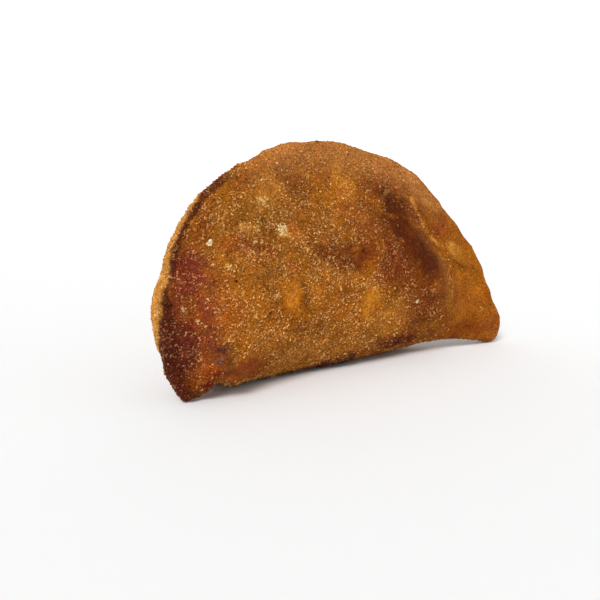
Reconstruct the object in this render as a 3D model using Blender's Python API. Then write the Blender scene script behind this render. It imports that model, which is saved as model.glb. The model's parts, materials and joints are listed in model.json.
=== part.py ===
"""A fried, crumbed half-moon rissole that stands on its folded edge.

The solid is in metres, and +Z is up. X runs along the fold, the front face looks towards -Y, and
the pastry leans back towards +Y, on the tips of its sealed rim and the back of its belly.

The pastry is first laid out in millimetres in its own plane: u along the fold, v from the fold up
to the rim, and n through the thickness, negative at the front. It is a loft of cross-sections that
fan out from the fold to the rim, as the spokes of a hand fan do. The lean then turns that plane.
"""

import math

import bmesh
import bpy
from mathutils import Vector, noise

# The dough round is cut with this cutter, whose centre is given in (u, v). Angles are in degrees,
# from +u towards +v, and the rim runs from the left tip over the top to the right one.
CUTTER_RADIUS = 53.1
CUTTER_CENTRE = (-2.5, 9.0)
LEFT_TIP_ANGLE = 190.0
RIGHT_TIP_ANGLE = -9.0
# Where handling and frying pulled the rim out or in: angle, spread in degrees, amount.
RIM_SWELLS = (
    (193.0, 6.0, -2.6),
    (168.0, 11.0, 1.7),
    (143.0, 22.0, 3.9),
    (111.0, 11.0, 0.6),
    (78.0, 13.0, -1.0),
    (46.0, 28.0, -2.6),
    (-3.0, 8.5, 3.4),
)
RIM_NICK_DEPTH = 0.45
RIM_NICK_LENGTH = 4.5
RIM_WAVE_HEIGHT = 0.9
RIM_WAVE_LENGTH = 26.0

# The folded edge, left to right as (u, v): the tips reach down, and the fold arches between them.
FOLD_LINE = (
    (-51.7, -0.2),
    (-49.5, 0.4),
    (-47.0, 1.2),
    (-45.2, 2.8),
    (-43.6, 3.2),
    (-40.5, 1.2),
    (-30.0, 0.9),
    (0.0, 1.2),
    (18.0, 1.8),
    (27.0, 3.0),
    (35.0, 2.9),
    (43.0, 1.5),
    (50.5, -0.2),
)

# The sealed band along the rim, by rim angle: its width from the cut edge to the belly, and its
# thickness.
SEAL_WIDTH = (
    (-9.0, 3.0),
    (10.0, 3.0),
    (20.0, 5.5),
    (28.0, 10.0),
    (38.0, 15.5),
    (47.0, 14.5),
    (56.0, 11.0),
    (64.0, 7.5),
    (75.0, 6.5),
    (115.0, 6.0),
    (135.0, 7.0),
    (148.0, 9.5),
    (157.0, 13.5),
    (165.0, 16.0),
    (190.0, 16.0),
)
SEAL_THICKNESS = (
    (-9.0, 4.4),
    (28.0, 4.0),
    (56.0, 4.0),
    (90.0, 3.4),
    (115.0, 2.8),
    (135.0, 2.6),
    (148.0, 4.0),
    (157.0, 7.2),
    (165.0, 8.0),
    (172.0, 6.8),
    (178.0, 4.2),
    (190.0, 2.4),
)
EDGE_BEVEL = 0.6
EDGE_CROWN = 0.35

# A pinched fold stands up beside the band on the front of the right shoulder: its height by angle.
PINCH_HEIGHT = (
    (14.0, 0.0),
    (20.0, 0.8),
    (28.0, 1.3),
    (38.0, 1.7),
    (47.0, 1.8),
    (56.0, 1.6),
    (64.0, 0.9),
    (72.0, 0.0),
)
PINCH_WIDTH = 3.4

# The belly that the filling makes, on top of half the band's thickness.
FRONT_BULGE = 8.6
BACK_BULGE = 11.5
# How far behind the middle of the rim the folded edge lies.
FOLD_SETBACK = 8.0
# A lower power makes the folded edge blunter, and a higher one eases the belly into the band.
FOLD_POWER = 0.42
SEAL_POWER = 1.7
# How full the belly stays on its way out to the band, by rim angle.
BELLY_FULLNESS = (
    (10.0, 2.0),
    (28.0, 3.0),
    (47.0, 3.2),
    (75.0, 2.2),
    (90.0, 2.0),
)
# Shares of the way along the rim where the belly starts, is full, starts to end and has ended.
BELLY_SPAN = (0.05, 0.22, 0.62, 0.84)

# Low hollows and lumps of the front, as u, v, radius and height.
FRONT_SPOTS = (
    (31.5, 38.0, 4.5, -1.2),
    (24.0, 34.0, 6.0, -0.7),
    (-42.5, 9.5, 2.8, -1.6),
    (4.0, 26.0, 10.0, 0.6),
    (-24.0, 22.0, 12.0, 0.5),
)
LUMP_HEIGHT = 1.0
LUMP_LENGTH = 17.0

LEAN = 10.0
# How much of the underside is pressed flat by the pastry's weight.
BASE_SINK = 0.7
METRES = 0.001

# Mesh detail: stations along the rim, and points up each face: round the folded edge, up the
# belly, over the pinched fold and out to the cut edge.
STATIONS = 100
NOSE_POINTS = 5
NOSE_HEIGHT = 5.0
BELLY_POINTS = 9
PINCH_POINTS = 4
SEAL_POINTS = 4

CRUST_COLOUR = (0.42, 0.17, 0.035, 1.0)
CRUST_ROUGHNESS = 0.62


def clear_scene():
    for thing in list(bpy.data.objects):
        bpy.data.objects.remove(thing)


def mix(a, b, share):
    return a + (b - a) * share


def clamp(value):
    return min(1.0, max(0.0, value))


def ease(low, high, value):
    """0 below low, 1 above high, and a smooth step between them."""
    share = clamp((value - low) / (high - low))
    return share * share * (3.0 - 2.0 * share)


def along_curve(stops, where):
    """Height at where of a smooth curve through the stops, and the end stop's height beyond them."""
    where = min(stops[-1][0], max(stops[0][0], where))
    place = next(i for i in range(1, len(stops)) if where <= stops[i][0])
    before, start, end, after = (
        stops[min(len(stops) - 1, max(0, place + step))] for step in (-2, -1, 0, 1)
    )
    run = end[0] - start[0]
    start_rise = run * (end[1] - before[1]) / (end[0] - before[0])
    end_rise = run * (after[1] - start[1]) / (after[0] - start[0])
    share = (where - start[0]) / run
    square, cube = share**2, share**3
    return (
        (2.0 * cube - 3.0 * square + 1.0) * start[1]
        + (cube - 2.0 * square + share) * start_rise
        + (3.0 * square - 2.0 * cube) * end[1]
        + (cube - square) * end_rise
    )


def rim_wobble(angle, length, seed):
    """Seeded noise along the rim, with bumps of this length."""
    along = CUTTER_RADIUS * math.radians(angle)
    return noise.noise(Vector((along / length, seed, 0.7 * seed)))


def rim_point(angle):
    """(u, v) of the cut edge."""
    radius = CUTTER_RADIUS
    for centre, spread, amount in RIM_SWELLS:
        radius += amount * math.exp(-(((angle - centre) / spread) ** 2))
    radius += RIM_NICK_DEPTH * rim_wobble(angle, RIM_NICK_LENGTH, 3.1)
    radius += RIM_NICK_DEPTH * rim_wobble(angle, RIM_NICK_LENGTH / 3.0, 8.2)
    turn = math.radians(angle)
    return Vector(CUTTER_CENTRE) + radius * Vector((math.cos(turn), math.sin(turn)))


def fold_point(share):
    """(u, v) of the folded edge where the cross-section at this share starts."""
    even = mix(-1.0, 1.0, share)
    spread = mix(even, -math.cos(math.pi * share), 0.5)
    u = mix(FOLD_LINE[0][0], FOLD_LINE[-1][0], 0.5 + 0.5 * spread)
    return Vector((u, along_curve(FOLD_LINE, u)))


def belly_share(share):
    start, full, fading, end = BELLY_SPAN
    return ease(start, full, share) * (1.0 - ease(fading, end, share))


def belly_profile(height, fullness):
    """Share of the full bulge at a share of the way from the fold to the band."""

    def raw(share):
        return share**FOLD_POWER * (1.0 - share**fullness) ** SEAL_POWER

    peak = (FOLD_POWER / (FOLD_POWER + SEAL_POWER * fullness)) ** (1.0 / fullness)
    return raw(height) / raw(peak)


def fold_round(height, half):
    """How far a half-round edge of this half thickness has opened at a height above its bottom."""
    left = max(0.0, 1.0 - height / half)
    return math.sqrt(1.0 - left * left)


def front_relief(u, v):
    height = 0.0
    for centre_u, centre_v, radius, amount in FRONT_SPOTS:
        square = ((u - centre_u) ** 2 + (v - centre_v) ** 2) / radius**2
        height += amount * math.exp(-square)
    return height


def lumps(u, v, seed):
    place = Vector((u / LUMP_LENGTH, v / LUMP_LENGTH, seed))
    coarse = noise.noise(place)
    fine = noise.noise(place * 2.3 + Vector((5.0, 1.0, 2.0)))
    return LUMP_HEIGHT * (coarse + 0.5 * fine)


class Section:
    """One cross-section, from the folded edge at the bottom to the cut edge of the rim."""

    def __init__(self, share):
        angle = mix(LEFT_TIP_ANGLE, RIGHT_TIP_ANGLE, share)
        self.start = fold_point(share)
        self.spoke = rim_point(angle) - self.start
        self.length = self.spoke.length
        self.half = along_curve(SEAL_THICKNESS, angle) / 2.0
        self.belly = belly_share(share)
        self.belly_top = max(0.35 * self.length, self.length - along_curve(SEAL_WIDTH, angle))
        self.fullness = along_curve(BELLY_FULLNESS, angle)
        self.pinch = along_curve(PINCH_HEIGHT, angle)
        self.wave = RIM_WAVE_HEIGHT * rim_wobble(angle, RIM_WAVE_LENGTH, 6.3)

    def point(self, height, side):
        """(u, v, n) at a height along the spoke. side is -1 on the front and 1 on the back."""
        place = self.start + self.spoke * (height / self.length)
        within = min(1.0, height / self.belly_top)
        bulge = FRONT_BULGE if side < 0 else BACK_BULGE
        opened = fold_round(height, self.half)
        offset = self.half * opened + self.belly * bulge * belly_profile(within, self.fullness)
        offset += opened * lumps(place.x, place.y, 2.0 + side)
        if side < 0:
            offset += opened * front_relief(place.x, place.y)
            across = clamp((height - self.belly_top) / PINCH_WIDTH)
            offset += self.pinch * math.sin(math.pi * across) ** 2
        middle = self.belly * FOLD_SETBACK * (1.0 - within) ** 3
        middle += self.wave * ease(0.5, 1.0, height / self.length)
        return Vector((place.x, place.y, middle + side * offset))

    def heights(self):
        """Heights of the points up one face: close together round the fold, then in even steps."""
        top = self.length - EDGE_BEVEL
        nose = min(NOSE_HEIGHT, 0.6 * self.belly_top)
        pinch_end = min(self.belly_top + PINCH_WIDTH, mix(self.belly_top, top, 0.7))
        found = [nose * (i / NOSE_POINTS) ** 2 for i in range(1, NOSE_POINTS + 1)]
        for start, end, points in (
            (nose, self.belly_top, BELLY_POINTS),
            (self.belly_top, pinch_end, PINCH_POINTS),
            (pinch_end, top, SEAL_POINTS),
        ):
            found += [mix(start, end, i / points) for i in range(1, points + 1)]
        return found

    def cut_edge(self):
        """The points across the cut edge, from the front corner to the back one."""
        front = self.point(self.length - EDGE_BEVEL, -1)
        back = self.point(self.length - EDGE_BEVEL, 1)
        outward = self.spoke.normalized().to_3d()
        return [
            front.lerp(back, share) + out * outward
            for share, out in ((0.12, EDGE_BEVEL), (0.5, EDGE_BEVEL + EDGE_CROWN), (0.88, EDGE_BEVEL))
        ]

    def loop(self):
        """Closed loop of points: the fold, up the front, over the cut edge and down the back."""
        heights = self.heights()
        fold = Vector((self.start.x, self.start.y, self.belly * FOLD_SETBACK))
        front = [self.point(height, -1) for height in heights]
        back = [self.point(height, 1) for height in reversed(heights)]
        return [fold] + front + self.cut_edge() + back


def leaned(point):
    """A (u, v, n) point's place once the pastry leans, in metres."""
    turn = math.radians(LEAN)
    y = point.y * math.sin(turn) + point.z * math.cos(turn)
    z = point.y * math.cos(turn) - point.z * math.sin(turn)
    return METRES * Vector((point.x, y, z))


def loft_pastry():
    shape = bmesh.new()
    rings = [
        [shape.verts.new(leaned(point)) for point in Section(i / STATIONS).loop()]
        for i in range(STATIONS + 1)
    ]
    for first, second in zip(rings, rings[1:]):
        for k in range(len(first)):
            after = (k + 1) % len(first)
            shape.faces.new((first[k], second[k], second[after], first[after]))
    shape.faces.new(rings[0])
    shape.faces.new(reversed(rings[-1]))
    bmesh.ops.recalc_face_normals(shape, faces=shape.faces)
    return shape


def rest_on_floor(shape):
    """Lowers the pastry until it has sunk a little, flattens what sank and centres the rest."""
    floor = min(vert.co.z for vert in shape.verts) + BASE_SINK * METRES
    for vert in shape.verts:
        vert.co.z = max(0.0, vert.co.z - floor)
    across = [vert.co.x for vert in shape.verts]
    deep = [vert.co.y for vert in shape.verts]
    centre = Vector((min(across) + max(across), min(deep) + max(deep), 0.0)) / 2.0
    bmesh.ops.translate(shape, verts=shape.verts, vec=-centre)


def crust_material():
    material = bpy.data.materials.new("fried_crust")
    material.use_nodes = True
    shader = material.node_tree.nodes["Principled BSDF"]
    shader.inputs["Base Color"].default_value = CRUST_COLOUR
    shader.inputs["Roughness"].default_value = CRUST_ROUGHNESS
    shader.inputs["Metallic"].default_value = 0.0
    return material


def make_rissole():
    shape = loft_pastry()
    rest_on_floor(shape)
    mesh = bpy.data.meshes.new("rissole")
    shape.to_mesh(mesh)
    shape.free()
    mesh.materials.append(crust_material())
    mesh.shade_smooth()
    mesh.set_sharp_from_angle(angle=math.radians(50.0))
    rissole = bpy.data.objects.new("rissole", mesh)
    bpy.context.collection.objects.link(rissole)


clear_scene()
make_rissole()
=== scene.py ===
"""The looks of a breaded half-moon rissole, fried golden brown and standing on its fold.

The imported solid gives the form. The crust is a finer copy of it with the small relief of a
breadcrumb coating, and loose crumbs of several kinds are stuck all over it, each kind joined
into one mesh. Sizes are in millimetres and become metres with MM. Colours are written as they
look on a screen, from 0 to 255, and linear() turns them into light.
"""
import json
import math
from dataclasses import dataclass

import bpy
import numpy as np
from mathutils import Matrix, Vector, noise

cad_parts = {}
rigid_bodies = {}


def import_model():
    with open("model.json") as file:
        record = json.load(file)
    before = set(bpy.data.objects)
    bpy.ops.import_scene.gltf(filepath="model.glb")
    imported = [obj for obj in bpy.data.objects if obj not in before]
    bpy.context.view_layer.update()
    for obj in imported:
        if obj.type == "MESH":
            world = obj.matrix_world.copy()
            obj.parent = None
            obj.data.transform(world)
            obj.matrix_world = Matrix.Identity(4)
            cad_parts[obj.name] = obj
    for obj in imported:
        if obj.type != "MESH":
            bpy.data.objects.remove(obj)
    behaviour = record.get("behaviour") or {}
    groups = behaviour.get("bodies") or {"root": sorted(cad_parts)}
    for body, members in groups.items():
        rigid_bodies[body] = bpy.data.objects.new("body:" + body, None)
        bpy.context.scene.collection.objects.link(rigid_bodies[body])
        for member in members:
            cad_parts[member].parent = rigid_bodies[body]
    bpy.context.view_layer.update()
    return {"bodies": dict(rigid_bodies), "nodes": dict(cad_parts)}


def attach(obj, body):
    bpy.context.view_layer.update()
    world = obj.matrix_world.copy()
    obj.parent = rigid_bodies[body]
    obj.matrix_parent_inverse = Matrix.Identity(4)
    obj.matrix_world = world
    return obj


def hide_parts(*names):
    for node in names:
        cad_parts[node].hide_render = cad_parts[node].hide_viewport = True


MM = 0.001

# The pastry leans back, and its round rim was cut about this centre.
LEAN = math.radians(10)
RIM_CENTRE = (0.5, 9.5)
RIM_STEP = 2
RIM_SKIN = 0.8

# The crust's mesh, and the relief on it.
CRUST_VOXEL = 0.424
SMOOTHING_ROUNDS = 4
SMOOTHING_SHARE = 0.55
SWELL_SIZE, SWELL_HEIGHT = 5.0, 0.16
GRIT_SIZE, GRIT_HEIGHT = 1.3, 0.13
GRAIN_SIZE, GRAIN_HEIGHT = 0.7, 0.10

# The crust's browning varies over these sizes. Its coloured places fade between these shares of their
# half length and half width, and noise pushes them about by this much, coarsely and finely.
MOTTLE_SIZE = 3.2
HUE_SIZE = 6.5
PLACE_FADES = (0.45, 1.35)
COARSE_PUSH_SIZE, COARSE_PUSH = 7, 2.2
FINE_PUSH_SIZE, FINE_PUSH = 1.6, 0.7

# Stretches of the rim, as the angles in degrees over which each begins or ends, counted from the
# right tip over the top to the left one.
UPPER_RIM_BEGINS = (25, 60)
UPPER_RIM_ENDS = (112, 135)
SMOOTH_RIM_ENDS = (110, 135)
LEFT_EDGE_BEGINS = (126, 133)
CUT_WIDENS = (136, 144)
CORNER_LINE_MOVES_OUT = (155, 165)
CORNER_LINE_WIDENS = (160, 172)
CUT_NARROWS = (168, 173)
CUT_ENDS = (174, 181)

# Crumbs: the seed of every random draw, and how many there are of each kind. A pale flake has a few
# and more for each square millimetre of its half width, and a burnt one always has the same.
CRUMB_SEED = 7
FINE_COUNT = 24000
COARSE_COUNT = 8000
SPECK_COUNT = 22000
CURL_COUNT = 7500
CHARRED_COUNT = 300
FLAKE_COUNT_LEAST, FLAKE_COUNT_PER_MM2 = 8, 34
BURNT_FLAKE_COUNT = 7

# A crumb's form and finish: how far it tips, how its width varies, how uneven its corners are.
CRUMB_TIP = 0.35
WIDTH_RANGE = (0.75, 1.45)
UNEVENNESS = 0.35
CURL_BEND, CURL_RADIUS = 0.8, 0.9
CRUMB_ROUGHNESS = 0.5
LIGHTNESS_RANGE = (0.55, 2.5)

# How strongly a pale fleck takes on the red and the green of the crust under it. Its blue goes with
# the red.
FLECK_TINT = (0.55, 0.46, 0.55)

# Pale flecks lie in clumps of this size. They thin out to the right and to the left between these
# values of x, and to the top between these values of z.
CLUMP_SIZE = 4.5
THIN_TO_RIGHT = (-8, 20)
THIN_FROM_LEFT = (-46, -38)
THIN_TO_TOP = (42, 54)

# Sockets of a Mix node that mixes colours.
MIX_FIRST, MIX_SECOND, MIX_RESULT = 6, 7, 2

# The view of the photograph: place in mm, angles in degrees, lens in mm on a 36 mm frame.
CAMERA_PLACE = (-106.5, -144.3, 53.6)
CAMERA_PITCH = 11.2
CAMERA_YAW = 32.39
CAMERA_LENS = 39.36

# The backdrop, in metres, and the light: the lamp shines from this side, as wide as this in degrees.
BACKDROP_REACH = 2.5
BACKDROP_BEND = 1.0
BACKDROP_HEIGHT = 2.4
BACKDROP_STEPS = 10
BACKDROP_SIDES = 96
SKY_STRENGTH = 0.56
LAMP_STRENGTH = 2.5
LAMP_SPREAD = 24
LAMP_SIDE = (-0.75, -0.55, 0.9)

# Colours of the crust.
GOLDEN = (159, 98, 26)
OLIVE = (144, 92, 32)
HONEY = (176, 106, 24)
AMBER = (180, 112, 26)
ORANGE = (166, 90, 26)
RUSSET = (126, 62, 22)
RUDDY = (128, 62, 20)
REDDISH = (134, 64, 24)
MAROON = (108, 44, 26)
BURNT = (80, 32, 12)
CHARRED = (82, 34, 14)
DARK_PLUM = (76, 26, 22)
TAN = (188, 130, 82)
SAND = (204, 146, 74)
PALE_CREST_AND_HIGHLIGHT = (206, 146, 76)
GREY_PLUM = (74, 36, 46)
CREAM = (255, 226, 170)
PEACH = (248, 190, 120)

# Places on the shown face that differ from plain golden crust:
# x, z, half length, half width, tilt in degrees, colour, strength.
SHOWN_PLACES = (
    (-28, 43, 14, 9, 25, OLIVE, 0.9),
    (-30, 32, 10, 7, 0, (138, 86, 30), 0.85),
    (-15, 41, 8, 7, 0, (142, 84, 28), 0.8),
    (-28, 53, 7, 3, 35, ORANGE, 0.7),
    (-17, 51.5, 5, 4.5, 0, (116, 58, 24), 0.65),
    (-24, 48.5, 5, 4, 0, (180, 120, 46), 0.8),
    (-8, 53, 3, 3, 0, REDDISH, 0.6),
    (-12, 59, 9, 2, 5, (182, 104, 44), 0.7),
    (0, 53, 4.2, 9, 0, (182, 120, 42), 0.85),
    (-2, 46, 5, 4.5, 0, (180, 110, 34), 0.7),
    (-19.5, 39.4, 1.7, 1.7, 0, (172, 98, 34), 0.8),
    (-36, 36.5, 4, 3.5, 0, ORANGE, 0.7),
    (-34, 36, 2.5, 2.5, 0, REDDISH, 0.5),
    (-29, 34.5, 3, 2, 0, REDDISH, 0.6),
    (-9, 33, 8, 4.2, 0, (114, 57, 24), 0.85),
    (-1.5, 31.5, 5.5, 4, 0, (102, 47, 22), 0.95),
    (6, 31, 6, 8, 0, (124, 60, 24), 0.9),
    (18.5, 15.5, 7, 8, 0, (124, 60, 28), 0.8),
    (1.5, 40.5, 7, 6, 0, (134, 70, 26), 0.85),
    (-22.5, 30, 2, 1.6, 0, (158, 70, 22), 0.7),
    # These amber places, their paler core and the dark stripe among them: amber crust, with painted light
    # on a low, gleaming bump and painted shade in the small dent beside it.
    (-24.2, 22.5, 4.6, 5.2, 0, AMBER, 1.0),
    (-23.8, 22.2, 2, 4, 0, (202, 134, 58), 0.75),
    (-17, 22, 3, 4, 0, AMBER, 0.8),
    (-20.3, 22.5, 0.9, 4.5, 0, (112, 60, 26), 0.8),
    (-33, 17.5, 2, 2, 0, (112, 56, 26), 0.7),
    (-9, 19.5, 7, 4.5, 0, (170, 102, 34), 0.8),
    # Another amber glow with a paler core: golden crust with painted light on a low, gleaming bump.
    (0.5, 19, 4.5, 5, 0, (190, 120, 34), 0.9),
    (0.8, 18, 2.2, 4.5, 0, (206, 142, 56), 0.7),
    (2, 27, 2, 2, 0, ORANGE, 0.7),
    (-36, 22, 5, 6, 0, GOLDEN, 0.8),
    (-31, 14, 8, 4, 0, (172, 106, 32), 0.8),
    (-12, 8, 18, 3, -4, (180, 118, 46), 0.9),
    (9, 13, 7, 5, 0, (192, 126, 46), 0.9),
    (14, 5.5, 8, 3.5, 0, (96, 36, 22), 1.0),
    (26, 5.5, 5, 3, 0, (116, 60, 24), 0.7),
    (11, 49.5, 4.5, 4.5, -10, (136, 72, 34), 0.8),
    (16, 52, 7, 2.5, -35, (172, 92, 38), 0.8),
    (11, 29, 5, 9, 15, (116, 54, 24), 0.9),
    (24, 22, 8, 5.5, -60, (118, 58, 24), 0.9),
    # The hollow to the right of the crest: reddish browning, darkened further as painted shade in the
    # hollow.
    (34.5, 36, 3.5, 5, 30, REDDISH, 1.0),
    (27.2, 42.6, 2.8, 5, 38, (122, 56, 16), 0.95),
    (22.8, 38.5, 9, 2.8, -62, (130, 66, 28), 0.85),
    (26, 48.5, 10, 2.4, -40, TAN, 0.8),
    # A painted highlight at the lower end of the crest, on golden crust.
    (38, 29.8, 3.4, 2.6, -60, (184, 128, 60), 0.9),
    (42, 17, 9, 8, 0, (164, 98, 32), 0.9),
    (48, 20, 3, 5, 0, (168, 104, 32), 0.7),
    (41, 6, 10, 4, 0, (128, 64, 20), 0.8),
    (30, 11, 4, 4, 0, (134, 72, 24), 0.8),
    (53, 6, 5, 6, 0, (154, 88, 40), 0.8),
    (-40.5, 22, 4, 8, 0, (160, 86, 26), 0.8),
    (-47.5, 27, 5.5, 11, -8, (130, 58, 42), 1.0),
    (-50.5, 14, 6, 10, 0, (98, 40, 32), 1.0),
    (-46, 17, 3, 8, 0, (130, 60, 34), 0.9),
    (-43, 41, 3, 6, -35, (146, 78, 24), 0.8),
    (-49, 5, 5.5, 5, 0, (84, 24, 18), 1.0),
    (-45.5, 8, 3, 4, 0, (120, 36, 18), 0.9),
    (-37, 7, 7, 3.8, -6, (144, 70, 36), 0.9),
    (-43.5, 10.9, 2.4, 2.8, 0, GREY_PLUM, 0.85),
    (-23.2, 39.1, 1.7, 1.4, 0, (214, 164, 90), 0.8),
    (-26.5, 46.2, 2.2, 1.3, 0, (178, 126, 56), 0.7),
    (-32.6, 39.8, 1.8, 1.3, 0, (196, 124, 44), 0.8),
)

# The dark band on the right shoulder, as x and z, and half the width that it fades over. It is scorched
# crust, and also painted shade on the slope beside the crest.
SCORCH_AND_SHADE_BAND = ((14.2, 44.6), (14.2, 41.0), (15.0, 37.5), (17.2, 33.5), (20.8, 29.5))
SCORCH_AND_SHADE_WIDTH = 6.2

# The back is browned in its own way.
BACK_PLACES = (
    (-18, 40, 14, 9, 25, RUSSET, 0.7),
    (12, 30, 12, 8, -20, HONEY, 0.8),
    (30, 38, 9, 6, -50, BURNT, 0.6),
    (-34, 22, 8, 9, 0, AMBER, 0.7),
    (2, 14, 12, 5, 0, (132, 72, 28), 0.8),
    (44, 14, 8, 9, 0, MAROON, 0.7),
    (-48, 12, 6, 8, 0, (146, 84, 30), 0.8),
    (10, 52, 14, 4, 5, TAN, 0.6),
)

# Smooth places of the shown face, where fewer crumbs stuck: x, z, half length, half width, tilt.
SMOOTH_PLACES = (
    (43, 12, 14, 15, 0),
    (36, 34, 6, 13, 30),
    (29, 43, 5, 10, 45),
    (27, 26, 4, 12, 10),
    (18, 33, 12, 5, -70),
    (-24, 22.5, 3.5, 4.5, 0),
    (0.5, 18.5, 3, 4, 0),
    (0, 31.5, 4, 3, 0),
    (-37, 7, 7, 3.8, -6),
    (-43.4, 11, 2.6, 2.8, 0),
)

# The crest of the pinched fold on the right shoulder, as x and z, and half the width of the pale line
# along it: paler, thinner breading with a painted highlight on the crest.
CREST = ((22.8, 46.0), (25.1, 41.7), (27.5, 37.2), (29.7, 34.2), (33.0, 31.0))
CREST_WIDTH = 0.6

# Flakes of pale crumb: x, z, half width, colour.
PALE_FLAKES = (
    (-23.2, 39.1, 1.4, CREAM),
    (-26.5, 46.2, 1.4, (232, 178, 108)),
    (-32.6, 39.8, 1.6, (212, 154, 84)),
    (-29.3, 39.3, 0.8, (214, 160, 92)),
    (-41.4, 36.9, 0.6, (250, 226, 190)),
    (-38.2, 31.1, 0.6, (238, 188, 104)),
    (-30.7, 36.5, 0.5, (226, 180, 120)),
    (-29.0, 36.5, 0.5, (226, 180, 120)),
    (-29.5, 33.9, 0.9, (208, 130, 54)),
    (-27.9, 23.8, 0.9, (226, 166, 100)),
    (16.7, 17.9, 0.5, (255, 228, 190)),
    (13.6, 47.8, 1.0, (172, 120, 66)),
    (-44.1, 10.5, 0.9, (146, 96, 74)),
    (-50.2, 22.0, 0.7, (214, 160, 112)),
    (-47.0, 19.0, 0.6, (220, 170, 120)),
)

# Burnt specks: x, z, half width.
BURNT_FLAKES = (
    (-13.4, 34.3, 0.45),
    (-8.9, 33.7, 0.4),
    (-0.7, 32.8, 0.4),
    (-30.4, 20.0, 0.4),
    (-15.3, 12.1, 0.6),
    (-53.1, 23.6, 0.4),
    (-27.8, 41.4, 0.35),
    (-37.2, 27.7, 0.35),
    (-7.8, 61.0, 0.6),
    (-31.8, 54.1, 0.8),
)


def linear(colour):
    """The light that a colour seen on a screen stands for."""
    share = np.asarray(colour, float) / 255
    return np.where(share <= 0.04045, share / 12.92, ((share + 0.055) / 1.055) ** 2.4)


def smooth_step(value, start, end):
    """0 before start, 1 after end, and smooth in between."""
    share = np.clip((value - start) / (end - start), 0, 1)
    return share * share * (3 - 2 * share)


def field(points, size, octaves=2, shift=0.0):
    """Smooth noise from about -1 to 1 at points in mm, its features as large as size.

    Fields with different shifts have nothing to do with each other.
    """
    offset = Vector((shift, -shift, 2 * shift))
    return np.array([noise.fractal(Vector(p) / size + offset, 0.7, 2.0, octaves) for p in points])


def material(name):
    """A new node material: the material, its node tree and its Principled shader."""
    made = bpy.data.materials.new(name)
    made.use_nodes = True
    return made, made.node_tree, made.node_tree.nodes["Principled BSDF"]


class Pastry:
    """Where points lie on the pastry: in its leaning plane, round its rim, on its front or back."""

    def __init__(self, points):
        """points, in mm, cover the whole pastry, so their reach from the centre is the rim."""
        angle, reach = self.polar(points)
        self.rim_angles = np.arange(-180, 180 + RIM_STEP, RIM_STEP)
        slot = np.round((angle + 180) / RIM_STEP).astype(int) % (len(self.rim_angles) - 1)
        self.rim_reach = np.zeros(len(self.rim_angles))
        np.maximum.at(self.rim_reach, slot, reach)
        self.rim_reach[-1] = self.rim_reach[0]
        edge = reach > self.rim_reach[slot] - RIM_SKIN
        depth = self.depth(points)
        self.rim_front = np.full(len(self.rim_angles), np.inf)
        self.rim_back = np.full(len(self.rim_angles), -np.inf)
        np.minimum.at(self.rim_front, slot[edge], depth[edge])
        np.maximum.at(self.rim_back, slot[edge], depth[edge])
        self.rim_front[-1] = self.rim_front[0]
        self.rim_back[-1] = self.rim_back[0]

    def depth(self, points):
        """How far back each point lies, at right angles to the leaning plane."""
        return points[:, 1] * math.cos(LEAN) - points[:, 2] * math.sin(LEAN)

    def across_edge(self, points):
        """0 at the front corner of the cut edge, 1 at its back corner."""
        angle, _ = self.polar(points)
        front = np.interp(angle, self.rim_angles, self.rim_front)
        back = np.interp(angle, self.rim_angles, self.rim_back)
        return (self.depth(points) - front) / (back - front)

    def polar(self, points):
        """Angle in degrees, from +X upwards, and distance from the rim's centre, in the leaning plane."""
        up = points[:, 1] * math.sin(LEAN) + points[:, 2] * math.cos(LEAN)
        across = points[:, 0] - RIM_CENTRE[0]
        above = up - RIM_CENTRE[1]
        return np.degrees(np.arctan2(above, across)), np.hypot(across, above)

    def rim_distance(self, points):
        """How far each point lies inside the rim, in mm."""
        angle, reach = self.polar(points)
        return np.interp(angle, self.rim_angles, self.rim_reach) - reach

    def turn(self, points):
        """Angle from the right tip over the top to the left one, in degrees."""
        angle, _ = self.polar(points)
        return np.where(angle < -90, angle + 360, angle)

    def outward(self, points, normals):
        """How much each normal points away from the rim's centre, -1 to 1."""
        angle, _ = self.polar(points)
        radial = np.radians(angle)
        normal_up = normals[:, 1] * math.sin(LEAN) + normals[:, 2] * math.cos(LEAN)
        return normals[:, 0] * np.cos(radial) + normal_up * np.sin(radial)

    def frontness(self, normals):
        """1 where the surface faces the front, -1 where it faces the back."""
        return -normals[:, 1] * math.cos(LEAN) + normals[:, 2] * math.sin(LEAN)


def within(points, x, z, half_length, half_width, tilt):
    """1 at the middle of a soft oval place seen from the front, 0 well outside it."""
    turn = math.radians(tilt)
    across = points[:, 0] - x
    above = points[:, 2] - z
    along = (across * math.cos(turn) + above * math.sin(turn)) / half_length
    aside = (above * math.cos(turn) - across * math.sin(turn)) / half_width
    return 1 - smooth_step(np.hypot(along, aside), *PLACE_FADES)


def toned(colours, weight, colour):
    """The colours moved towards one colour by a weight for each."""
    weight = weight[:, None]
    return colours * (1 - weight) + linear(colour) * weight


def warped(points):
    """The points pushed about by noise, so that no coloured place has a drawn edge."""
    pushed = points.copy()
    for axis, coarse_shift, fine_shift in ((0, 3.1, 5.7), (2, 9.4, 8.2)):
        pushed[:, axis] += COARSE_PUSH * field(points, COARSE_PUSH_SIZE, 2, coarse_shift)
        pushed[:, axis] += FINE_PUSH * field(points, FINE_PUSH_SIZE, 1, fine_shift)
    return pushed


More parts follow.
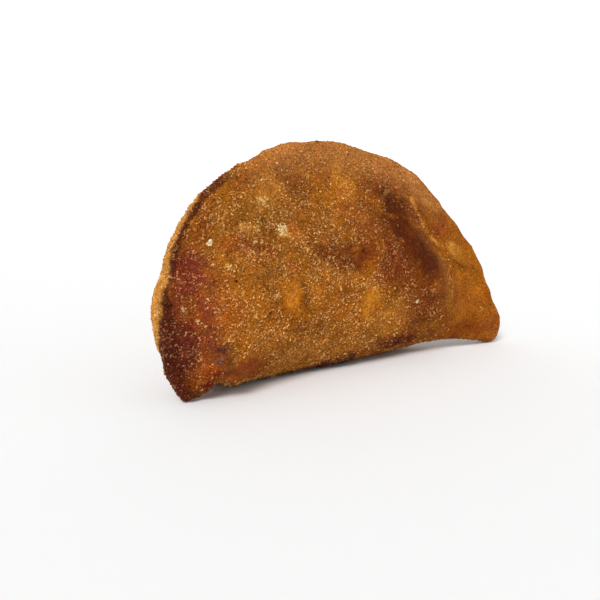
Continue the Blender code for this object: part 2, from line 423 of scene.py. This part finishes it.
def shown_colours(points):
    """The front's colour at each point: its coloured places, a few of them with painted light and shade,
    and the dark band, which is scorched crust and painted shade.
    """
    colours = np.tile(linear(GOLDEN), (len(points), 1))
    for *place, colour, strength in SHOWN_PLACES:
        colours = toned(colours, within(points, *place) * strength, colour)
    from_band = line_distance(points, SCORCH_AND_SHADE_BAND) / SCORCH_AND_SHADE_WIDTH
    # The dark band: russet and burnt browning, which also paints the shade on the slope beside the crest.
    colours = toned(colours, (1 - smooth_step(from_band, 0.8, 2.6)) * 0.45, RUSSET)
    return toned(colours, (1 - smooth_step(from_band, 0.4, 1.4)) * 0.92, BURNT)


def hidden_colours(points):
    """The back's colour at each point."""
    colours = np.tile(linear(GOLDEN), (len(points), 1))
    for *place, colour, strength in BACK_PLACES:
        colours = toned(colours, within(points, *place) * strength, colour)
    return colours


def left_edge_coloured(colours, pastry, points, normals, front, mottle):
    """The colours with the left stretch of the rim: a dark line at its corner, and its pale cut edge.

    The line lies 1 mm inside the corner at the top, and moves out and widens on its way down. The cut
    edge is fried dark over a share of its thickness from the front, and pale behind that.
    """
    inside = pastry.rim_distance(points)
    turn = pastry.turn(points)
    left = smooth_step(turn, *LEFT_EDGE_BEGINS)
    line_place = 1 - smooth_step(turn, *CORNER_LINE_MOVES_OUT)
    line_width = 0.8 + 2.4 * smooth_step(turn, *CORNER_LINE_WIDENS)
    from_line = np.abs(inside - line_place + 0.4 * mottle) / line_width
    colours = toned(colours, (1 - smooth_step(from_line, 0.6, 1.5)) * left * front * 0.85, DARK_PLUM)

    cut = smooth_step(pastry.outward(points, normals), 0.55, 0.85) * (1 - smooth_step(inside, 2, 3.5))
    fried_share = -0.08 + 0.34 * smooth_step(turn, *CUT_NARROWS) + 0.8 * smooth_step(turn, *CUT_ENDS)
    fried_share += 0.5 * (1 - smooth_step(turn, *CUT_WIDENS))
    across = pastry.across_edge(points) + 0.15 * mottle
    pale = smooth_step(across, fried_share - 0.05, fried_share + 0.35)
    colours = toned(colours, cut * left * (1 - pale) * 0.8, DARK_PLUM)
    return toned(colours, cut * left * pale, SAND)


def crust_colours_with_painted_light(pastry, points, normals):
    """The crust's colour at each point, before its finest grain, as light: its browning, with painted
    light and shade in a few places.
    """
    front = smooth_step(pastry.frontness(normals), -0.25, 0.25)
    moved = warped(points)
    colours = shown_colours(moved) * front[:, None] + hidden_colours(moved) * (1 - front[:, None])

    mottle = field(points, MOTTLE_SIZE, 3, 1.7)
    hue = field(points, HUE_SIZE, 3, 7.9)
    colours = toned(colours, smooth_step(hue, 0.05, 0.6) * 0.35, RUDDY)
    colours = toned(colours, smooth_step(-hue, 0.05, 0.6) * 0.35, HONEY)

    turn = pastry.turn(points)
    upper = smooth_step(turn, *UPPER_RIM_BEGINS) * (1 - smooth_step(turn, *UPPER_RIM_ENDS))
    upper *= 1 - smooth_step(pastry.rim_distance(points) + mottle, 2, 12)
    colours = toned(colours, upper * 0.7, TAN)
    # The pale line along the crest: paler breading and a painted highlight.
    crest = 1 - smooth_step(line_distance(points, CREST), 0.4 * CREST_WIDTH, 1.4 * CREST_WIDTH)
    crest *= smooth_step(mottle, -0.5, 0.3)
    colours = toned(colours, crest * front * 0.85, PALE_CREST_AND_HIGHLIGHT)

    colours = left_edge_coloured(colours, pastry, points, normals, front, mottle)
    return colours * (1 + 0.2 * mottle[:, None])


def line_distance(points, line):
    """Distance in x and z from each point to a line through several places."""
    flat = points[:, [0, 2]]
    nearest = np.full(len(points), np.inf)
    for start, end in zip(line, line[1:]):
        start, run = np.array(start), np.subtract(end, start)
        share = np.clip((flat - start) @ run / (run @ run), 0, 1)
        gap = np.linalg.norm(flat - start - share[:, None] * run, axis=1)
        nearest = np.minimum(nearest, gap)
    return nearest


def roughness_of_coat(points, normals, pastry):
    """1 where the crumbs lie thick, down to about 0.1 where the crust is smooth."""
    front = smooth_step(pastry.frontness(normals), -0.25, 0.25)
    smooth = np.zeros(len(points))
    for place in SMOOTH_PLACES:
        smooth = np.maximum(smooth, within(points, *place))
    inside = pastry.rim_distance(points)
    near_rim = 1 - smooth_step(inside, 1, 5)
    smooth_rim = near_rim * (1 - smooth_step(pastry.turn(points), *SMOOTH_RIM_ENDS))
    return np.clip(1 - 0.8 * smooth * front - 0.65 * smooth_rim, 0.08, 1)


def read_points(mesh):
    """The mesh's points and their normals, in mm."""
    points = np.empty(len(mesh.vertices) * 3)
    normals = np.empty(len(mesh.vertices) * 3)
    mesh.vertices.foreach_get("co", points)
    mesh.vertices.foreach_get("normal", normals)
    return points.reshape(-1, 3) / MM, normals.reshape(-1, 3)


def write_points(mesh, points):
    """Sets the mesh's points from mm."""
    mesh.vertices.foreach_set("co", (points * MM).ravel())
    mesh.update()


def set_colours(mesh, name, colours):
    """Stores one colour for each point of the mesh."""
    layer = mesh.attributes.new(name, "FLOAT_COLOR", "POINT")
    full = np.ones((len(colours), 4))
    full[:, :3] = colours
    layer.data.foreach_set("color", full.ravel())


def evened(points, edges, rounds):
    """The points drawn towards the middle of their neighbours, which wipes out facets."""
    count = np.bincount(edges.ravel(), minlength=len(points))[:, None]
    for _ in range(rounds):
        total = np.zeros_like(points)
        np.add.at(total, edges[:, 0], points[edges[:, 1]])
        np.add.at(total, edges[:, 1], points[edges[:, 0]])
        points += (total / count - points) * SMOOTHING_SHARE
    return points


def fine_copy(node):
    """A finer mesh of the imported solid, with even small faces."""
    rough = bpy.data.objects.new("rough", node.data.copy())
    bpy.context.scene.collection.objects.link(rough)
    remesh = rough.modifiers.new("voxels", "REMESH")
    remesh.mode = "VOXEL"
    remesh.voxel_size = CRUST_VOXEL * MM
    remesh.use_smooth_shade = True
    graph = bpy.context.evaluated_depsgraph_get()
    mesh = bpy.data.meshes.new_from_object(rough.evaluated_get(graph))
    bpy.data.objects.remove(rough)
    edges = np.empty(len(mesh.edges) * 2, int)
    mesh.edges.foreach_get("vertices", edges)
    points, _ = read_points(mesh)
    write_points(mesh, evened(points, edges.reshape(-1, 2), SMOOTHING_ROUNDS))
    return mesh


def make_crust(node):
    """The coated surface: the solid's form with the small relief of breadcrumbs."""
    mesh = fine_copy(node)
    points, normals = read_points(mesh)
    pastry = Pastry(points)
    coat = roughness_of_coat(points, normals, pastry)
    relief = SWELL_HEIGHT * field(points, SWELL_SIZE, 2, 0.3)
    relief += coat * GRIT_HEIGHT * field(points, GRIT_SIZE, 2, 6.1)
    relief += coat * GRAIN_HEIGHT * field(points, GRAIN_SIZE, 1, 4.4)
    colours = crust_colours_with_painted_light(pastry, points, normals)
    points = points + normals * relief[:, None]
    points[:, 2] = np.maximum(points[:, 2], 0)
    write_points(mesh, points)
    set_colours(mesh, "browning", colours)
    mesh.name = "crust"
    mesh.materials.clear()
    mesh.materials.append(crust_material())
    crust = bpy.data.objects.new("crust", mesh)
    bpy.context.scene.collection.objects.link(crust)
    return crust, pastry


def grained(tree, shader, darkest, lightest, scale, detail):
    """Gives the shader the mesh's stored colour, with its painted light and shade, multiplied by a ramp
    over a fine grain.

    darkest and lightest each hold a level of the grain and the colour that it multiplies by there.
    It gives back the node of the mesh's own coordinates and the node of the grain.
    """
    link = tree.links.new
    place = tree.nodes.new("ShaderNodeTexCoord")
    browning = tree.nodes.new("ShaderNodeAttribute")
    browning.attribute_name = "browning"
    grain = tree.nodes.new("ShaderNodeTexNoise")
    grain.inputs["Scale"].default_value = scale
    grain.inputs["Detail"].default_value = detail
    link(place.outputs["Object"], grain.inputs["Vector"])
    shade = tree.nodes.new("ShaderNodeValToRGB")
    for element, (level, colour) in zip(shade.color_ramp.elements, (darkest, lightest)):
        element.position = level
        element.color = (*colour, 1)
    link(grain.outputs["Fac"], shade.inputs["Fac"])
    product = tree.nodes.new("ShaderNodeMix")
    product.data_type = "RGBA"
    product.blend_type = "MULTIPLY"
    product.inputs["Factor"].default_value = 1
    link(browning.outputs["Color"], product.inputs[MIX_FIRST])
    link(shade.outputs["Color"], product.inputs[MIX_SECOND])
    link(product.outputs[MIX_RESULT], shader.inputs["Base Color"])
    return place, grain


def crust_material():
    """Fried crust: the colour laid down in the mesh, browning with painted light and shade in places,
    broken up by grains of crumb, with a little fat.
    """
    made, tree, shader = material("fried crust")
    link = tree.links.new
    darkest = (0.38, (0.46, 0.29, 0.05))
    lightest = (0.62, (1.24, 1.22, 0.95))
    place, grain = grained(tree, shader, darkest, lightest, scale=2200, detail=3)
    grain.inputs["Roughness"].default_value = 0.65
    grain.inputs["Distortion"].default_value = 1.2

    cells = tree.nodes.new("ShaderNodeTexVoronoi")
    cells.inputs["Scale"].default_value = 1600
    link(place.outputs["Object"], cells.inputs["Vector"])
    bump = tree.nodes.new("ShaderNodeBump")
    bump.inputs["Strength"].default_value = 0.6
    bump.inputs["Distance"].default_value = 0.15 * MM
    link(cells.outputs["Distance"], bump.inputs["Height"])
    link(bump.outputs["Normal"], shader.inputs["Normal"])

    gloss = tree.nodes.new("ShaderNodeMapRange")
    gloss.inputs["To Min"].default_value = 0.4
    gloss.inputs["To Max"].default_value = 0.8
    link(grain.outputs["Fac"], gloss.inputs["Value"])
    link(gloss.outputs["Result"], shader.inputs["Roughness"])
    shader.inputs["Specular IOR Level"].default_value = 0.03
    return made


def crumb_material(name):
    """Crumbs: each has its own colour in the mesh, with a finer grain inside it."""
    made, tree, shader = material(name)
    grained(tree, shader, (0.3, (0.68, 0.58, 0.35)), (0.7, (1.2, 1.2, 1.2)), scale=3500, detail=2)
    shader.inputs["Roughness"].default_value = CRUMB_ROUGHNESS
    shader.inputs["Specular IOR Level"].default_value = 0.05
    return made


def octahedron():
    """Points and faces of a sharp crumb with 8 sides."""
    points = np.array([(1, 0, 0), (-1, 0, 0), (0, 1, 0), (0, -1, 0), (0, 0, 1), (0, 0, -1)], float)
    top = [(0, 2, 4), (2, 1, 4), (1, 3, 4), (3, 0, 4)]
    return points, np.array(top + [(b, a, 5) for a, b, _ in top])


def curl():
    """Points and faces of a bent sliver, which tapers to both ends."""
    points = [(-1, CURL_BEND, 0)]
    for along in (-0.5, 0, 0.5):
        for turn in np.radians((90, 210, 330)):
            aside = CURL_BEND * along ** 2 + CURL_RADIUS * math.cos(turn)
            points.append((along, aside, CURL_RADIUS * math.sin(turn)))
    points.append((1, CURL_BEND, 0))
    faces = []
    for side in range(3):
        after = (side + 1) % 3
        faces.append((0, 1 + after, 1 + side))
        for ring in (1, 4):
            faces.append((ring + side, ring + after, ring + 3 + after))
            faces.append((ring + side, ring + 3 + after, ring + 3 + side))
        faces.append((7 + side, 7 + after, 10))
    return np.array(points, float), np.array(faces)


def icosahedron():
    """Points and faces of a round crumb with 20 sides."""
    golden = (1 + math.sqrt(5)) / 2
    points = []
    for a in (-1, 1):
        for b in (-golden, golden):
            points += [(0, a, b), (a, b, 0), (b, 0, a)]
    points = np.array(points, float) / math.hypot(1, golden)
    faces = []
    side = 2 / math.hypot(1, golden)
    for i in range(12):
        for j in range(i + 1, 12):
            for k in range(j + 1, 12):
                gaps = [np.linalg.norm(points[a] - points[b]) for a, b in ((i, j), (j, k), (i, k))]
                if max(gaps) < side * 1.01:
                    outward = np.dot(np.cross(points[j] - points[i], points[k] - points[i]), points[i])
                    faces.append((i, j, k) if outward > 0 else (i, k, j))
    return points, np.array(faces)


class Coat:
    """The crust as a place to stick crumbs on."""

    def __init__(self, crust, pastry):
        mesh = crust.data
        mesh.calc_loop_triangles()
        self.points, self.normals = read_points(mesh)
        corners = np.empty(len(mesh.loop_triangles) * 3, int)
        mesh.loop_triangles.foreach_get("vertices", corners)
        self.corners = corners.reshape(-1, 3)
        a, b, c = (self.points[self.corners[:, i]] for i in range(3))
        self.areas = np.linalg.norm(np.cross(b - a, c - a), axis=1) / 2
        self.pastry = pastry
        self.cover = roughness_of_coat(self.points, self.normals, pastry)
        clumps = 0.15 + smooth_step(field(self.points, CLUMP_SIZE, 2, 2.6), -0.5, 0.6)
        thin_right = 1 - 0.55 * smooth_step(self.points[:, 0], *THIN_TO_RIGHT)
        thin_left = 0.65 + 0.35 * smooth_step(self.points[:, 0], *THIN_FROM_LEFT)
        thin_top = 1 - 0.6 * smooth_step(self.points[:, 2], *THIN_TO_TOP)
        self.flecked = self.cover ** 2.5 * clumps * thin_right * thin_left * thin_top

    def places(self, rng, count, weight):
        """count random places: point and normal, drawn by area times the weight of each mesh point."""
        share = self.areas * weight[self.corners].mean(1)
        chosen = self.corners[rng.choice(len(share), count, p=share / share.sum())]
        parts = rng.dirichlet((1, 1, 1), count)[:, :, None]
        points = (self.points[chosen] * parts).sum(1)
        normals = (self.normals[chosen] * parts).sum(1)
        return points, normals / np.linalg.norm(normals, axis=1)[:, None]


@dataclass
class Kind:
    """One kind of crumb: its form, its sizes in mm, how it lies, and its colour against the crust's.

    slender is its length by its width, flatness its height by its width, and sunk the share of it that
    is in the crust. lightness multiplies the crust's colour, spread varies that, and paleness is the
    most that a crumb moves from there to pale peach: the colour of dry bread, which on the pale kinds
    also paints small warm glints on the oily crust.
    """

    name: str
    shape: tuple
    size: tuple
    slender: float = 1.0
    flatness: float = 0.6
    sunk: float = 0.4
    lightness: float = 1.0
    spread: float = 0.25
    paleness: float = 0.15


def crumb_piece(kind, rng, points, normals, colours):
    """One mesh of crumbs: uneven copies of a shape, lying on the surface and partly sunk in it."""
    corners, faces = kind.shape
    count = len(points)
    tip = rng.normal(0, CRUMB_TIP, (count, 1))
    along = np.cross(normals, rng.normal(size=(count, 3)))
    along /= np.linalg.norm(along, axis=1)[:, None]
    upright = normals + along * tip
    upright /= np.linalg.norm(upright, axis=1)[:, None]
    along -= upright * (along * upright).sum(1)[:, None]
    along /= np.linalg.norm(along, axis=1)[:, None]
    aside = np.cross(upright, along)
    smallest, largest = kind.size
    length = (smallest + (largest - smallest) * rng.uniform(0, 1, (count, 1)) ** 2) / 2
    width = length / (kind.slender * rng.uniform(*WIDTH_RANGE, (count, 1)))
    height = width * kind.flatness
    uneven = corners[None] * (1 + rng.uniform(-UNEVENNESS, UNEVENNESS, (count, len(corners), 1)))
    local = uneven * np.stack([length, width, height], axis=2)
    axes = np.stack([along, aside, upright], axis=1)
    placed = local @ axes + (points + normals * height * (1 - 2 * kind.sunk))[:, None]
    placed[:, :, 2] = np.maximum(placed[:, :, 2], 0)
    mesh = bpy.data.meshes.new(kind.name)
    all_faces = faces[None] + np.arange(count)[:, None, None] * len(corners)
    fill_mesh(mesh, placed.reshape(-1, 3), all_faces.reshape(-1, 3))
    set_colours(mesh, "browning", np.repeat(colours, len(corners), axis=0))
    mesh.materials.append(crumb_material(kind.name.replace("_", " ")))
    piece = bpy.data.objects.new(kind.name, mesh)
    bpy.context.scene.collection.objects.link(piece)
    return piece


def fill_mesh(mesh, points, faces):
    """Fills an empty mesh with points in mm and three-sided faces."""
    mesh.vertices.add(len(points))
    mesh.vertices.foreach_set("co", (points * MM).ravel())
    mesh.loops.add(faces.size)
    mesh.loops.foreach_set("vertex_index", faces.ravel())
    mesh.polygons.add(len(faces))
    mesh.polygons.foreach_set("loop_start", np.arange(0, faces.size, 3))
    mesh.update(calc_edges=True)
    mesh.validate()


def crust_coloured(kind, coat, rng, points, normals):
    """The crust's own colour with a lightness for each crumb, and some of them gone pale."""
    base = crust_colours_with_painted_light(coat.pastry, points, normals)
    own = kind.lightness * np.exp(rng.normal(0, kind.spread, (len(points), 1)))
    own = np.clip(own, *LIGHTNESS_RANGE)
    pale = kind.paleness * rng.uniform(0, 1, (len(points), 1))
    red, green, _ = (base / linear(GOLDEN)).T
    tint = np.clip(np.stack([red, green, red], axis=1) ** FLECK_TINT, 0, 1)
    return base * own * (1 - pale) + linear(PEACH) * tint * pale


def make_crumbs(coat):
    """Every kind of crumb on the crust."""
    rng = np.random.default_rng(CRUMB_SEED)
    # The pale kinds: pale breadcrumbs, whose bright peach also paints small warm glints on the oily crust.
    pale = {"spread": 0.2, "paleness": 1.0}
    fine = Kind("fine_crumbs", octahedron(), (0.3, 0.7), flatness=0.7)
    coarse = Kind("coarse_crumbs", icosahedron(), (0.45, 1.1), flatness=0.5, sunk=0.5, lightness=0.95)
    specks = Kind("pale_specks", octahedron(), (0.26, 0.78), slender=1.3, sunk=0.25, **pale)
    curls = Kind("pale_curls", curl(), (0.35, 1.2), slender=1.9, flatness=0.8, sunk=0.2, **pale)
    scattered = (
        (fine, FINE_COUNT, coat.cover ** 1.5),
        (coarse, COARSE_COUNT, coat.cover ** 2),
        (specks, SPECK_COUNT, coat.flecked),
        (curls, CURL_COUNT, coat.flecked),
    )
    pieces = []
    for kind, count, weight in scattered:
        points, normals = coat.places(rng, count, weight)
        colours = crust_coloured(kind, coat, rng, points, normals)
        pieces.append(crumb_piece(kind, rng, points, normals, colours))

    charred = Kind("charred_specks", icosahedron(), (0.25, 0.6), flatness=0.4, sunk=0.5)
    points, normals = coat.places(rng, CHARRED_COUNT, coat.cover)
    colours = linear(CHARRED) * rng.uniform(0.6, 1.6, (CHARRED_COUNT, 1))
    pieces.append(crumb_piece(charred, rng, points, normals, colours))
    return pieces + make_flakes(coat, rng)


def gathered(coat, rng, x, z, count, spread):
    """count places on the shown face that gather round a place in x and z, within about spread mm."""
    facing = coat.pastry.frontness(coat.normals) > 0.2
    near = np.hypot(coat.points[:, 0] - x, coat.points[:, 2] - z)
    return coat.places(rng, count, facing * np.exp(-(near / spread) ** 2))


def make_flakes(coat, rng):
    """The pale flakes and burnt specks that stand out on the shown face, as tight groups of crumbs."""
    points, normals, colours = [], [], []
    for x, z, half_width, colour in PALE_FLAKES:
        count = int(FLAKE_COUNT_LEAST + FLAKE_COUNT_PER_MM2 * half_width ** 2)
        found, upright = gathered(coat, rng, x, z, count, 0.55 * half_width)
        points.append(found)
        normals.append(upright)
        colours.append(linear(colour) * rng.uniform(0.5, 1.0, (count, 1)))
    points, normals, colours = (np.concatenate(parts) for parts in (points, normals, colours))
    kind = Kind("pale_flakes", icosahedron(), (0.35, 0.8), sunk=0.2)
    pale_flakes = crumb_piece(kind, rng, points, normals, colours)

    points, normals = [], []
    for x, z, half_width in BURNT_FLAKES:
        found, upright = gathered(coat, rng, x, z, BURNT_FLAKE_COUNT, 0.6 * half_width)
        points.append(found)
        normals.append(upright)
    points, normals = np.concatenate(points), np.concatenate(normals)
    colours = linear(CHARRED) * rng.uniform(0.4, 1.2, (len(points), 1))
    kind = Kind("burnt_flakes", icosahedron(), (0.3, 0.55), flatness=0.5, sunk=0.25)
    return [pale_flakes, crumb_piece(kind, rng, points, normals, colours)]


def make_backdrop():
    """A plain pale floor that sweeps up to a wall all round, far from the pastry."""
    rings = [(BACKDROP_REACH, 0)]
    for step in range(1, BACKDROP_STEPS + 1):
        turn = math.pi / 2 * step / BACKDROP_STEPS
        reach = BACKDROP_REACH + BACKDROP_BEND * math.sin(turn)
        rings.append((reach, BACKDROP_BEND * (1 - math.cos(turn))))
    rings.append((BACKDROP_REACH + BACKDROP_BEND, BACKDROP_HEIGHT))
    points = [(0, 0, 0)]
    faces = []
    for reach, height in rings:
        for side in range(BACKDROP_SIDES):
            turn = math.tau * side / BACKDROP_SIDES
            points.append((reach * math.cos(turn), reach * math.sin(turn), height))
    for side in range(BACKDROP_SIDES):
        after = (side + 1) % BACKDROP_SIDES
        faces.append((0, 1 + side, 1 + after))
        for ring in range(len(rings) - 1):
            low, high = 1 + ring * BACKDROP_SIDES, 1 + (ring + 1) * BACKDROP_SIDES
            faces.append((low + side, high + side, high + after, low + after))
    mesh = bpy.data.meshes.new("floor")
    mesh.from_pydata(points, [], faces)
    mesh.shade_smooth()
    made, _, shader = material("pale floor")
    shader.inputs["Base Color"].default_value = (0.86, 0.86, 0.86, 1)
    shader.inputs["Roughness"].default_value = 0.9
    shader.inputs["Specular IOR Level"].default_value = 0.0
    mesh.materials.append(made)
    floor = bpy.data.objects.new("floor", mesh)
    bpy.context.scene.collection.objects.link(floor)


def make_light():
    """Soft light from everywhere, and a broad lamp far off above the camera's left shoulder."""
    world = bpy.data.worlds.new("studio")
    world.use_nodes = True
    background = world.node_tree.nodes["Background"]
    background.inputs["Color"].default_value = (1, 1, 1, 1)
    background.inputs["Strength"].default_value = SKY_STRENGTH
    bpy.context.scene.world = world
    data = bpy.data.lights.new("key", "SUN")
    data.energy = LAMP_STRENGTH
    data.angle = math.radians(LAMP_SPREAD)
    lamp = bpy.data.objects.new("key", data)
    lamp.rotation_euler = Vector(LAMP_SIDE).to_track_quat("Z", "Y").to_euler()
    bpy.context.scene.collection.objects.link(lamp)


def make_camera():
    """The photograph's view."""
    data = bpy.data.cameras.new("camera")
    data.sensor_width = 36
    data.lens = CAMERA_LENS
    data.clip_start = 0.01
    camera = bpy.data.objects.new("camera", data)
    camera.location = [value * MM for value in CAMERA_PLACE]
    camera.rotation_euler = (math.radians(90 - CAMERA_PITCH), 0, math.radians(-CAMERA_YAW))
    bpy.context.scene.collection.objects.link(camera)
    bpy.context.scene.camera = camera


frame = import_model()

make_camera()
make_light()
make_backdrop()
bpy.context.scene.view_settings.view_transform = "Standard"

crust, pastry = make_crust(frame["nodes"]["rissole"])
crumbs = make_crumbs(Coat(crust, pastry))
body = sorted(frame["bodies"])[0]
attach(crust, body)
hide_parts("rissole")
for piece in crumbs:
    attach(piece, body)
